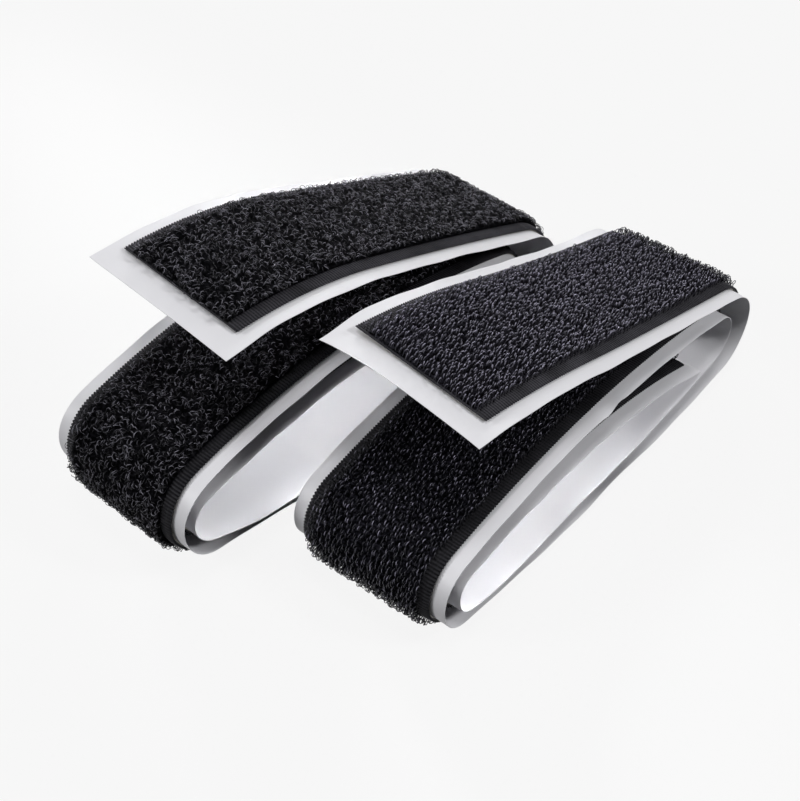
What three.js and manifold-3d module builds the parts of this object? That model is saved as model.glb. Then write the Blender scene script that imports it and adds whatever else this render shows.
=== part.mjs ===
// Two self-adhesive tape strips, one of loops and one of hooks. Each is wound loosely on itself in an oval,
// pile outwards and liner inwards, with its free end lifted off the turn below.
// Millimetres, +Z up. X runs across the strips and Y along the ovals, with the free ends towards -Y.
import * as THREE from 'three';
import { mergeVertices } from 'three/addons/utils/BufferGeometryUtils.js';
import Module from 'manifold-3d';

// Tape stock, from its liner outwards
const TAPE_WIDTH = 20;
const SELVEDGE_WIDTH = 1.9;
const LINER_MARGIN = 2;
const LINER_FREE_TAIL = 3.7;
const LINER_INNER_TAIL = 1.4;
const LINER_THICKNESS = 0.12;
const ADHESIVE_THICKNESS = 0.12;
const COAT_THICKNESS = 0.08;
const GROUND_THICKNESS = 0.32;
const BOND_GAP = 0.03;
const LOOP_PILE_HEIGHT = 1.35;
const HOOK_THICKET_HEIGHT = 0.8;

// Hooks that stand out of their thicket
const HOOK_TIP_HEIGHT = 0.5;
const HOOK_TIP_LEAN = 0.45;
const HOOK_ROOT_DEPTH = 0.15;
const HOOK_RADIUS = 0.22;
const HOOK_ROWS = 6;
const HOOK_COLUMNS = 51;
const HOOK_STAGGER = 0.25;
const HOOK_EDGE_MARGIN = 1;

// Loop strip's winding: angles in degrees, from its inner end to its free end
const LOOP_INNER_SHORT = 11;
const LOOP_SINK_ANGLE = 13;
const LOOP_INNER_RADIUS = 3.2;
const LOOP_TURN_SLACK = 1.1;
const LOOP_RUN = 57;
const LOOP_FRONT_SLACK = 1.2;
const LOOP_CROWN_ANGLE = 32.2;
const LOOP_INNER_CROWN_ANGLE = 25;
const LOOP_FLOOR_CROWN_ANGLE = 21.8;
const LOOP_FLOOR_SLACK = 3.3;
const LOOP_BACK_SLACK = 0.6;
const LOOP_LIFT_ANGLE = 22.5;
const LOOP_FREE_LENGTH = 60.6;
const LOOP_SPRING_SHARE = 0.55;
const LOOP_SPRING_ANGLE = 2.2;
const LOOP_EASE_ANGLE = 22.6;
const LOOP_TWIST_ANGLE = 5.1;
const LOOP_DRIFT = 0.65;

// Hook strip's winding, in the same order
const HOOK_INNER_SHORT = 3.6;
const HOOK_SINK_ANGLE = 19.8;
const HOOK_INNER_RADIUS = 1.72;
const HOOK_TURN_SLACK = 1.55;
const HOOK_RUN = 57.8;
const HOOK_FRONT_SLACK = 0.1;
const HOOK_CROWN_ANGLE = 25.3;
const HOOK_INNER_CROWN_ANGLE = 22;
const HOOK_FLOOR_CROWN_ANGLE = 13.9;
const HOOK_FLOOR_SLACK = 1;
const HOOK_BACK_SLACK = 0.8;
const HOOK_LIFT_ANGLE = 16.8;
const HOOK_FREE_LENGTH = 61.5;
const HOOK_SPRING_SHARE = 0.6;
const HOOK_SPRING_ANGLE = -3.6;
const HOOK_EASE_ANGLE = 10.1;
const HOOK_TWIST_ANGLE = 8.1;
const HOOK_DRIFT = 0.3;

// Where the pile presses flat on the floor, where each free end flexes, and how the strips lie side by side
const FLOOR_FLATTENING = 0.5;
const FLEX_GAP = 0.4;
const STRIP_GAP = 6.5;
const HOOK_SET_BACK = 11.5;
const LOOP_YAW = -3.8;
const HOOK_YAW = -0.65;

// Facets along the route
const RUN_STEPS = 6;
const TURN_STEPS = 10;
const FREE_STEPS = 8;
const GAP_SAMPLE = 0.5;

const { degToRad, smoothstep } = THREE.MathUtils;
const pileWidth = TAPE_WIDTH - 2 * SELVEDGE_WIDTH;
const linerWidth = TAPE_WIDTH + 2 * LINER_MARGIN;
const wasm = await Module();
wasm.setup();

const finishes = {
  pile: { color: 0x0c0c0e, roughness: 0.85, metalness: 0 },
  ground: { color: 0x1c1c1f, roughness: 0.7, metalness: 0 },
  coat: { color: 0x2b2b2c, roughness: 0.6, metalness: 0 },
  adhesive: { color: 0xd9d3bd, roughness: 0.3, metalness: 0 },
  liner: { color: 0xe4e4e9, roughness: 0.5, metalness: 0 },
};

// The layers of a strip, each with the heights of its two faces over the liner's inner face
function layersOf(pileHeight) {
  const stock = [
    { piece: 'release_liner', finish: 'liner', width: linerWidth, thickness: LINER_THICKNESS },
    { piece: 'adhesive', finish: 'adhesive', width: TAPE_WIDTH, thickness: ADHESIVE_THICKNESS },
    { piece: 'back_coat', finish: 'coat', width: TAPE_WIDTH, thickness: COAT_THICKNESS },
    { piece: 'woven_tape', finish: 'ground', width: TAPE_WIDTH, thickness: GROUND_THICKNESS },
    { piece: 'pile', finish: 'pile', width: pileWidth, thickness: pileHeight },
  ];
  let height = 0;
  for (const layer of stock) {
    layer.inner = height;
    layer.outer = height + layer.thickness;
    height = layer.outer + BOND_GAP;
  }
  return stock;
}

// A strip's route as arcs end to end, each with its length, the angle it bends through and its facets.
// It winds anticlockwise seen from +X: each half turn is wider than the last by half the winding's pitch.
// The free end springs up along its first share and eases level along the rest.
function routeOf(strip) {
  const pitch = strip.stack + strip.turnSlack;
  const outerRadius = strip.innerRadius + pitch;
  const middleRadius = strip.innerRadius + pitch / 2;
  const backRadius = middleRadius + strip.stack + strip.backSlack;
  const innerTurn = Math.PI - strip.crown / 2 - strip.innerCrown / 2;
  const floorTurn = Math.PI - strip.crown / 2 - strip.floorCrown / 2;
  const backTurn = Math.PI - strip.lift - strip.floorCrown / 2;
  const turn = (radius, bend) => ({ length: radius * bend, bend, steps: TURN_STEPS });
  const run = (length, bend, steps = RUN_STEPS) => ({ length, bend, steps });
  const arcs = [
    run(strip.run - strip.innerShort, strip.crown / 2 + strip.sink),
    turn(strip.innerRadius, innerTurn),
    run(strip.run, strip.innerCrown),
    turn(middleRadius, innerTurn),
    run(strip.run + strip.frontSlack, strip.crown),
    turn(outerRadius, floorTurn),
    run(strip.run + strip.floorSlack, strip.floorCrown),
    turn(backRadius, backTurn),
    run(strip.freeLength * strip.springShare, strip.spring, FREE_STEPS),
    run(strip.freeLength * (1 - strip.springShare), strip.ease, FREE_STEPS),
  ];
  let place = { start: 0, y: 0, z: 0, heading: Math.PI - strip.sink };
  for (const arc of arcs) {
    Object.assign(arc, place);
    const end = pointOnArc(arc, arc.length);
    place = { start: arc.start + arc.length, ...end };
  }
  return arcs;
}

function pointOnArc(arc, distance) {
  const heading = arc.heading + arc.bend * distance / arc.length;
  const radius = arc.length / arc.bend;
  const y = arc.y + radius * (Math.sin(heading) - Math.sin(arc.heading));
  const z = arc.z - radius * (Math.cos(heading) - Math.cos(arc.heading));
  return { y, z, heading };
}

class Strip {
  constructor(values) {
    Object.assign(this, values);
    this.layers = layersOf(this.pileHeight);
    this.pile = this.layers.at(-1);
    this.stack = this.pile.outer + this.tipHeight;
    this.arcs = routeOf(this);
    const [spring, tip] = this.arcs.slice(-2);
    this.flexAt = spring.start;
    this.end = tip.start + tip.length;
    this.settle();
  }

  // Stands the route on the floor: the lowest point of its flattened pile at z = 0, its front turn at y = 0
  settle() {
    const samples = this.distances(0, this.end, GAP_SAMPLE).map((s) => this.centre(s));
    const front = Math.min(...samples.map((point) => point.y));
    const low = Math.min(...samples.map((point) => point.z));
    const rest = this.pile.outer - FLOOR_FLATTENING;
    for (const arc of this.arcs) {
      arc.y -= front;
      arc.z += rest - low;
    }
  }

  distances(from, to, step) {
    const count = Math.ceil((to - from) / step);
    return Array.from({ length: count + 1 }, (_, i) => from + (to - from) * i / count);
  }

  // The facet marks of the route between two distances, with both ends
  stations(from, to) {
    const marks = this.arcs.flatMap((arc) =>
      Array.from({ length: arc.steps }, (_, i) => arc.start + arc.length * i / arc.steps));
    const inside = marks.filter((s) => s > from + FLEX_GAP && s < to - FLEX_GAP);
    return [from, ...inside, to];
  }

  centre(s) {
    const arc = this.arcs.findLast((a) => s >= a.start);
    return pointOnArc(arc, s - arc.start);
  }

  // A point of the strip: distance along it, across from its middle, and height over the liner's inner face.
  // The free end twists, its far edge up, and the winding drifts sideways by a little.
  point(s, across, height) {
    const { y, z, heading } = this.centre(s);
    const roll = this.twist * smoothstep(s, this.flexAt, this.end);
    const side = across * Math.cos(roll) + height * Math.sin(roll);
    const out = height * Math.cos(roll) - across * Math.sin(roll);
    const x = side + this.drift * (s / this.end - 0.5);
    return new THREE.Vector3(x, y + out * Math.sin(heading), z - out * Math.cos(heading));
  }

  // A closed band of one layer between two distances. The pile is pressed flat where it meets the floor.
  band(layer, from, to) {
    const half = layer.width / 2;
    const corners = [[-half, layer.inner], [half, layer.inner], [half, layer.outer], [-half, layer.outer]];
    const stations = this.stations(from, to);
    const positions = [];
    for (const s of stations) {
      for (const [across, height] of corners) {
        const point = this.point(s, across, height);
        positions.push(point.x, point.y, Math.max(point.z, 0));
      }
    }
    const last = 4 * (stations.length - 1);
    const index = [0, 2, 1, 0, 3, 2, last, last + 1, last + 2, last, last + 2, last + 3];
    for (let here = 0; here < last; here += 4) {
      for (let side = 0; side < 4; side += 1) {
        const a = here + side;
        const b = here + (side + 1) % 4;
        const quad = side === 0 ? [a, b, a + 4, b, b + 4, a + 4] : [a, b, b + 4, a, b + 4, a + 4];
        index.push(...quad);
      }
    }
    const geometry = new THREE.BufferGeometry();
    geometry.setAttribute('position', new THREE.Float32BufferAttribute(positions, 3));
    geometry.setIndex(index);
    return geometry;
  }

  // Hooks of three sides, rooted in the thicket between two distances, with rows that lean to and fro by turns
  hooks(from, to) {
    const positions = [];
    const index = [];
    const step = this.end / HOOK_COLUMNS;
    const rowStep = (pileWidth - 2 * HOOK_EDGE_MARGIN) / (HOOK_ROWS - 1);
    for (let column = 0; column < HOOK_COLUMNS; column += 1) {
      for (let row = 0; row < HOOK_ROWS; row += 1) {
        const s = step * (column + 0.5 + (row % 2 ? HOOK_STAGGER : -HOOK_STAGGER));
        const across = rowStep * (row - (HOOK_ROWS - 1) / 2);
        const lean = row % 2 ? HOOK_TIP_LEAN : -HOOK_TIP_LEAN;
        const clear = s > from + HOOK_EDGE_MARGIN && s < to - HOOK_EDGE_MARGIN;
        if (clear && this.point(s, across, this.stack).z > 0) {
          this.addHook(positions, index, s, across, lean);
        }
      }
    }
    const geometry = new THREE.BufferGeometry();
    geometry.setAttribute('position', new THREE.Float32BufferAttribute(positions, 3));
    geometry.setIndex(index);
    return geometry;
  }

  addHook(positions, index, s, across, lean) {
    const first = positions.length / 3;
    const heights = [this.pile.outer - HOOK_ROOT_DEPTH, this.pile.outer + HOOK_TIP_HEIGHT / 2];
    for (const height of heights) {
      for (let corner = 0; corner < 3; corner += 1) {
        const angle = 2 * Math.PI * corner / 3;
        const ds = HOOK_RADIUS * Math.cos(angle);
        const dw = HOOK_RADIUS * Math.sin(angle);
        positions.push(...this.point(s + ds, across + dw, height));
      }
    }
    positions.push(...this.point(s + lean, across, this.stack));
    index.push(first, first + 2, first + 1);
    for (let corner = 0; corner < 3; corner += 1) {
      const a = first + corner;
      const b = first + (corner + 1) % 3;
      index.push(a, b, b + 3, a, b + 3, a + 3, a + 3, b + 3, first + 6);
    }
  }

  // The least gap between one turn's outer face and the next turn's inner face, on points along the middle
  leastGap() {
    const samples = this.distances(0, this.end, GAP_SAMPLE);
    const inner = samples.map((s) => this.point(s, 0, 0));
    const outer = samples.map((s) => this.point(s, 0, this.stack));
    const apart = Math.ceil(this.run / 2 / GAP_SAMPLE);
    let least = Infinity;
    for (let i = 0; i < samples.length; i += 1) {
      for (let j = i + apart; j < samples.length; j += 1) {
        least = Math.min(least, outer[i].distanceTo(inner[j]), inner[i].distanceTo(inner[j]));
      }
    }
    return least;
  }

  // The strip as a group: its roll, and its free end hung on the line where it flexes, on the pile's outside
  build() {
    const group = new THREE.Group();
    const roll = new THREE.Group();
    const freeEnd = new THREE.Group();
    roll.name = `${this.name}_roll`;
    freeEnd.name = `${this.name}_free_end`;
    const flex = this.point(this.flexAt, 0, this.stack);
    freeEnd.position.copy(flex);
    for (const layer of this.layers) {
      const isLiner = layer.piece === 'release_liner';
      const start = isLiner ? 0 : LINER_INNER_TAIL;
      const end = isLiner ? this.end : this.end - LINER_FREE_TAIL;
      const name = `${this.name}_${layer.piece}`;
      roll.add(this.piece(name, layer, start, this.flexAt - FLEX_GAP / 2));
      const free = this.piece(`${name}_free_end`, layer, this.flexAt + FLEX_GAP / 2, end);
      free.geometry.translate(-flex.x, -flex.y, -flex.z);
      freeEnd.add(free);
    }
    group.add(roll, freeEnd);
    return group;
  }

  piece(name, layer, from, to) {
    const band = this.band(layer, from, to);
    const hooked = layer === this.pile && this.tipHeight > 0;
    const geometry = hooked ? join(band, this.hooks(from, to)) : band;
    geometry.computeVertexNormals();
    const mesh = new THREE.Mesh(geometry, new THREE.MeshStandardMaterial(finishes[layer.finish]));
    mesh.name = name;
    return mesh;
  }
}

function solidOf(geometry) {
  const merged = mergeVertices(geometry);
  const vertProperties = new Float32Array(merged.attributes.position.array);
  const triVerts = new Uint32Array(merged.index.array);
  return new wasm.Manifold(new wasm.Mesh({ numProp: 3, vertProperties, triVerts }));
}

function join(first, second) {
  const mesh = solidOf(first).add(solidOf(second)).getMesh();
  const geometry = new THREE.BufferGeometry();
  geometry.setAttribute('position', new THREE.BufferAttribute(mesh.vertProperties, 3));
  geometry.setIndex(new THREE.BufferAttribute(mesh.triVerts, 1));
  return geometry;
}

const loopStrip = new Strip({
  name: 'loop',
  pileHeight: LOOP_PILE_HEIGHT,
  tipHeight: 0,
  innerShort: LOOP_INNER_SHORT,
  sink: degToRad(LOOP_SINK_ANGLE),
  innerRadius: LOOP_INNER_RADIUS,
  turnSlack: LOOP_TURN_SLACK,
  run: LOOP_RUN,
  frontSlack: LOOP_FRONT_SLACK,
  crown: degToRad(LOOP_CROWN_ANGLE),
  innerCrown: degToRad(LOOP_INNER_CROWN_ANGLE),
  floorCrown: degToRad(LOOP_FLOOR_CROWN_ANGLE),
  floorSlack: LOOP_FLOOR_SLACK,
  backSlack: LOOP_BACK_SLACK,
  lift: degToRad(LOOP_LIFT_ANGLE),
  freeLength: LOOP_FREE_LENGTH,
  springShare: LOOP_SPRING_SHARE,
  spring: degToRad(LOOP_SPRING_ANGLE),
  ease: degToRad(LOOP_EASE_ANGLE),
  twist: degToRad(LOOP_TWIST_ANGLE),
  drift: LOOP_DRIFT,
});

const hookStrip = new Strip({
  name: 'hook',
  pileHeight: HOOK_THICKET_HEIGHT,
  tipHeight: HOOK_TIP_HEIGHT,
  innerShort: HOOK_INNER_SHORT,
  sink: degToRad(HOOK_SINK_ANGLE),
  innerRadius: HOOK_INNER_RADIUS,
  turnSlack: HOOK_TURN_SLACK,
  run: HOOK_RUN,
  frontSlack: HOOK_FRONT_SLACK,
  crown: degToRad(HOOK_CROWN_ANGLE),
  innerCrown: degToRad(HOOK_INNER_CROWN_ANGLE),
  floorCrown: degToRad(HOOK_FLOOR_CROWN_ANGLE),
  floorSlack: HOOK_FLOOR_SLACK,
  backSlack: HOOK_BACK_SLACK,
  lift: degToRad(HOOK_LIFT_ANGLE),
  freeLength: HOOK_FREE_LENGTH,
  springShare: HOOK_SPRING_SHARE,
  spring: degToRad(HOOK_SPRING_ANGLE),
  ease: degToRad(HOOK_EASE_ANGLE),
  twist: degToRad(HOOK_TWIST_ANGLE),
  drift: HOOK_DRIFT,
});

for (const strip of [loopStrip, hookStrip]) {
  const length = strip.end.toFixed(1);
  const gap = strip.leastGap().toFixed(2);
  console.log(`${strip.name} strip: ${length} mm long, least gap to itself ${gap} mm`);
}

const loopGroup = loopStrip.build();
loopGroup.rotation.z = degToRad(LOOP_YAW);
const hookGroup = hookStrip.build();
hookGroup.rotation.z = degToRad(HOOK_YAW);
hookGroup.position.set(linerWidth + STRIP_GAP, HOOK_SET_BACK, 0);

// The origin is on the floor, under the middle of the pair
const pair = new THREE.Group();
pair.add(loopGroup, hookGroup);
const middle = new THREE.Box3().setFromObject(pair, true).getCenter(new THREE.Vector3());
pair.position.set(-middle.x, -middle.y, 0);

export default pair;
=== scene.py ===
"""Looks of a pair of self-adhesive tape strips, one of loops and one of hooks, wound on their liners.

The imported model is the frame. Each piece is a numpy surface laid along its strip's route, in metres, and
stands for the solid of the same layer. A strip's own coordinates are the distance along it from its inner
end, the distance across from its middle, and the height over the inner face of its liner.
"""

import logging
import math
from dataclasses import dataclass
from dataclasses import field
from enum import Enum

import bpy
import numpy as np
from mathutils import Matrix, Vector
from numpy.typing import NDArray


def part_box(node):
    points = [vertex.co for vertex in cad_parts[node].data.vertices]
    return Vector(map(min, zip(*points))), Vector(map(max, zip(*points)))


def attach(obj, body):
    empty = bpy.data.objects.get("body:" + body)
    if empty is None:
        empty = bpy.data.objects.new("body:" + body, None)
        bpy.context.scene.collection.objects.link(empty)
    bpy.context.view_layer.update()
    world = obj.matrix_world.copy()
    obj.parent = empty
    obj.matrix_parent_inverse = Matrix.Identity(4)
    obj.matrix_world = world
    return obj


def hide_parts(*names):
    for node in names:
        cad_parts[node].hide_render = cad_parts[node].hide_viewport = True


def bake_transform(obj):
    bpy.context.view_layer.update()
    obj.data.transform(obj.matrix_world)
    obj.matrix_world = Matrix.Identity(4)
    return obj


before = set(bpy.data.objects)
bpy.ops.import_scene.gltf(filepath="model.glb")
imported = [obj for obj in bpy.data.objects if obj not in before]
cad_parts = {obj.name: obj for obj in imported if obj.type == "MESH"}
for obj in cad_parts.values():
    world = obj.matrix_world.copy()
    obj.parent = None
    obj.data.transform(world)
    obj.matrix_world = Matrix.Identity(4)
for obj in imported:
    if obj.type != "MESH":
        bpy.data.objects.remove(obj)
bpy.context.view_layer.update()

Array = NDArray[np.float64]
Index = NDArray[np.int64]
Colour = tuple[float, float, float]
Span = tuple[float, float]
Inputs = dict[str | int, object]

MM = 0.001
WEFT_PITCH = 0.42 * MM
TUBE_SIDES = 3
NO_CREASE = 180.0
log = logging.getLogger("tape_pair")


class Stretch(Enum):
    """The two lengths of a strip, which meet at the line where its end flexes."""

    WOUND = "wound"
    LIFTED = "lifted"


class PileKind(Enum):
    """The two halves of the fastening, by the name of their bodies and nodes."""

    LOOP = "loop"
    HOOK = "hook"


def smooth_step(value: Array, low: float, high: float) -> Array:
    """Rises smoothly from 0 at low to 1 at high: three squares of the share between, less two cubes."""
    share = np.clip((value - low) / (high - low), 0, 1)
    return share * share * (3 - 2 * share)


def even_stations(start: float, end: float, step: float) -> Array:
    """Gives evenly spaced distances with both ends, no further apart than the step."""
    return np.linspace(start, end, math.ceil((end - start) / step) + 1)


def unit_wave(along: Array, lengths: tuple[float, ...], phase: float) -> Array:
    """A smooth uneven wave from -1 to 1: the mean of sines of these wave lengths, out of step."""
    waves = [np.sin(2 * math.pi * along / length + phase * (1 + k)) for k, length in enumerate(lengths)]
    return np.mean(waves, axis=0)


def pressed(height: Array, give: float = 0.25 * MM) -> Array:
    """Presses heights over the floor: below the give they fall off as an exponential and stay above zero."""
    return np.where(height < give, give * np.exp(np.minimum(height / give, 1) - 1), height)


@dataclass(frozen=True)
class TapeStock:
    """Widths and thicknesses of the tape's layers, from the liner outwards."""

    tape_width: float = 20 * MM
    selvedge_width: float = 1.9 * MM
    liner_margin: float = 2 * MM
    liner_free_tail: float = 3.7 * MM
    liner_inner_tail: float = 1.4 * MM
    liner: float = 0.12 * MM
    adhesive: float = 0.12 * MM
    coat: float = 0.08 * MM
    ground: float = 0.32 * MM
    bond_gap: float = 0.03 * MM

    @property
    def liner_width(self) -> float:
        """Width of the liner, with both its margins."""
        return self.tape_width + 2 * self.liner_margin

    @property
    def pile_width(self) -> float:
        """Width of the pile between the bare selvedges."""
        return self.tape_width - 2 * self.selvedge_width

    @property
    def adhesive_base(self) -> float:
        """Height of the adhesive's inner face."""
        return self.liner + self.bond_gap

    @property
    def coat_base(self) -> float:
        """Height of the back coat's inner face."""
        return self.adhesive_base + self.adhesive + self.bond_gap

    @property
    def ground_base(self) -> float:
        """Height of the woven ground's inner face."""
        return self.coat_base + self.coat + self.bond_gap

    @property
    def pile_base(self) -> float:
        """Height of the roots of the pile."""
        return self.ground_base + self.ground + self.bond_gap


@dataclass(frozen=True)
class Sag:
    """A stretch that lies off its arc: its shift, and where that begins, is full, wanes and stops."""

    shift: tuple[float, float, float]
    begins: float
    full: float
    wanes: float
    stops: float

    def share(self, along: Array) -> Array:
        """Gives how much of the shift there is at distances along: a smooth step up and another down."""
        return smooth_step(along, self.begins, self.full) * (1 - smooth_step(along, self.wanes, self.stops))


@dataclass(frozen=True)
class Winding:
    """How a strip is wound, from its inner end to its free end: lengths in metres, angles in degrees."""

    inner_short: float
    sink: float
    inner_radius: float
    turn_slack: float
    run: float
    front_slack: float
    crown: float
    inner_crown: float
    floor_crown: float
    floor_slack: float
    back_slack: float
    lift: float
    free_length: float
    spring_share: float
    spring: float
    ease: float
    twist: float
    drift: float
    yaw: float
    floor_pile: float
    stack: float
    sags: tuple[Sag, ...]


LOOP_WINDING = Winding(
    inner_short=11 * MM, sink=13, inner_radius=3.2 * MM, turn_slack=1.1 * MM, run=57 * MM,
    front_slack=1.2 * MM, crown=32.2, inner_crown=25, floor_crown=21.8, floor_slack=3.3 * MM,
    back_slack=0.6 * MM, lift=22.5, free_length=60.6 * MM, spring_share=0.55, spring=2.2, ease=22.6,
    twist=5.1, drift=0.65 * MM, yaw=-3.8, floor_pile=1.61 * MM, stack=2.11 * MM,
    sags=(
        Sag((0.0, -0.9 * MM, 0.0), 38 * MM, 50 * MM, 51 * MM, 62 * MM),
        Sag((1.0 * MM, 0.0, -0.85 * MM), 48 * MM, 62 * MM, 85 * MM, 112 * MM),
    ),
)
HOOK_WINDING = Winding(
    inner_short=3.6 * MM, sink=19.8, inner_radius=1.72 * MM, turn_slack=1.55 * MM, run=57.8 * MM,
    front_slack=0.1 * MM, crown=25.3, inner_crown=22, floor_crown=13.9, floor_slack=1 * MM,
    back_slack=0.8 * MM, lift=16.8, free_length=61.5 * MM, spring_share=0.6, spring=-3.6, ease=10.1,
    twist=8.1, drift=0.3 * MM, yaw=-0.65, floor_pile=1.06 * MM, stack=2.06 * MM,
    sags=(Sag((0.7 * MM, 0.0, -1.1 * MM), 53 * MM, 60 * MM, 62 * MM, 85 * MM),),
)


class Route:
    """The line that a wound strip follows: arcs end to end, anticlockwise seen from +X.

    The outer turn is the top run, front turn, floor run and back turn, and the last arcs are the free end.
    """

    settle_step = 0.5 * MM
    outer_turn = slice(4, 8)
    free_arcs = 2

    def __init__(self, winding: Winding, liner_node: str, half_width: float) -> None:
        """Lays the arcs, stands them on the floor and moves them to the liner's place.

        Args:
            winding: How the strip is wound.
            liner_node: The CAD node of the wound liner, whose box says where the strip lies.
            half_width: Half the liner's width.
        """
        self.winding = winding
        self._lay_arcs()
        self._settle()
        self._place(liner_node, half_width)

    def _lay_arcs(self) -> None:
        """Works out each arc's start, heading and radius: each half turn is wider by half the pitch."""
        w = self.winding
        crown, inner_crown, floor_crown = np.radians([w.crown, w.inner_crown, w.floor_crown])
        pitch = w.stack + w.turn_slack
        middle = w.inner_radius + pitch / 2
        outer = w.inner_radius + pitch
        back = middle + w.stack + w.back_slack
        inner_turn = math.pi - crown / 2 - inner_crown / 2
        floor_turn = math.pi - crown / 2 - floor_crown / 2
        back_turn = math.pi - math.radians(w.lift) - floor_crown / 2
        arcs = np.array([
            (w.run - w.inner_short, crown / 2 + math.radians(w.sink)),
            (w.inner_radius * inner_turn, inner_turn),
            (w.run, inner_crown),
            (middle * inner_turn, inner_turn),
            (w.run + w.front_slack, crown),
            (outer * floor_turn, floor_turn),
            (w.run + w.floor_slack, floor_crown),
            (back * back_turn, back_turn),
            (w.free_length * w.spring_share, math.radians(w.spring)),
            (w.free_length * (1 - w.spring_share), math.radians(w.ease)),
        ])
        length, bend = arcs.T
        self.radius = length / bend
        marks = np.concatenate([[0.0], np.cumsum(length)])
        headings = math.pi - math.radians(w.sink) + np.concatenate([[0.0], np.cumsum(bend)])
        self.headings = headings[:-1]
        self.y = np.concatenate([[0.0], np.cumsum(self.radius * np.diff(np.sin(headings)))])[:-1]
        self.z = np.concatenate([[0.0], np.cumsum(-self.radius * np.diff(np.cos(headings)))])[:-1]
        self.starts = marks[:-1]
        self.flex = float(marks[-1 - self.free_arcs])
        self.end = float(marks[-1])

    def _settle(self) -> None:
        """Stands the route on the floor, on its flattened pile, with its front turn at y = 0."""
        y, z, _ = self.centre(even_stations(0, self.end, self.settle_step))
        self.y = self.y - y.min()
        self.z = self.z + self.winding.floor_pile - z.min()

    def _place(self, liner_node: str, half_width: float) -> None:
        """Moves the strip, turned by its yaw, to the middle of its liner's box in the frame.

        Args:
            liner_node: The CAD node of the wound liner.
            half_width: Half the liner's width.
        """
        self.shift = np.zeros(3)
        along = even_stations(0, self.flex, self.settle_step)
        edges = np.stack([self.point(along, side * half_width, 0.0) for side in (-1, 1)])
        low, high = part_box(liner_node)
        middle = (np.array(low) + np.array(high)) / 2
        own = (edges.min((0, 1)) + edges.max((0, 1))) / 2
        self.shift = np.array([middle[0] - own[0], middle[1] - own[1], 0.0])

    def centre(self, along: Array) -> tuple[Array, Array, Array]:
        """Gives the route itself, before it is placed.

        On an arc the heading grows evenly, and the place is the arc's start plus its radius times the
        difference of the heading's sine for y, and less that of its cosine for z.

        Args:
            along: Distances along the strip.

        Returns:
            The route's y, its z, and its heading in radians.
        """
        arc = np.clip(np.searchsorted(self.starts, along, side="right") - 1, 0, len(self.starts) - 1)
        first = self.headings[arc]
        heading = first + (along - self.starts[arc]) / self.radius[arc]
        y = self.y[arc] + self.radius[arc] * (np.sin(heading) - np.sin(first))
        z = self.z[arc] - self.radius[arc] * (np.cos(heading) - np.cos(first))
        return y, z, heading

    def point(self, along: Array, across: Array | float, height: Array | float) -> Array:
        """Gives points of the frame from the strip's own coordinates.

        The free end rolls about its middle line by a smooth step of its twist, the winding drifts sideways
        evenly, and each sag shifts its stretch. Height is laid off along the outward normal of the route.

        Args:
            along: Distance along the strip.
            across: Distance across it.
            height: Height over the inner face of its liner.

        Returns:
            An array of the inputs' shape with three coordinates last.
        """
        y, z, heading = self.centre(along)
        roll = math.radians(self.winding.twist) * smooth_step(along, self.flex, self.end)
        side = across * np.cos(roll) + height * np.sin(roll)
        out = height * np.cos(roll) - across * np.sin(roll)
        x = side + self.winding.drift * (along / self.end - 0.5)
        y = y + out * np.sin(heading)
        z = z - out * np.cos(heading)
        for sag in self.winding.sags:
            x, y, z = (value + shift * sag.share(along) for value, shift in zip((x, y, z), sag.shift))
        yaw = math.radians(self.winding.yaw)
        turned_x = x * math.cos(yaw) - y * math.sin(yaw)
        turned_y = x * math.sin(yaw) + y * math.cos(yaw)
        return np.stack(np.broadcast_arrays(turned_x, turned_y, z), axis=-1) + self.shift

    def span(self, stretch: Stretch, inner: float, outer: float) -> Span:
        """Gives where a layer starts and ends in one stretch.

        Args:
            stretch: The wound or the lifted length.
            inner: How far the layer stops short of the strip's inner end.
            outer: How far it stops short of the free end.

        Returns:
            The distances along the strip of the layer's two ends.
        """
        if stretch is Stretch.WOUND:
            return inner, self.flex
        return self.flex, self.end - outer


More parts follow.
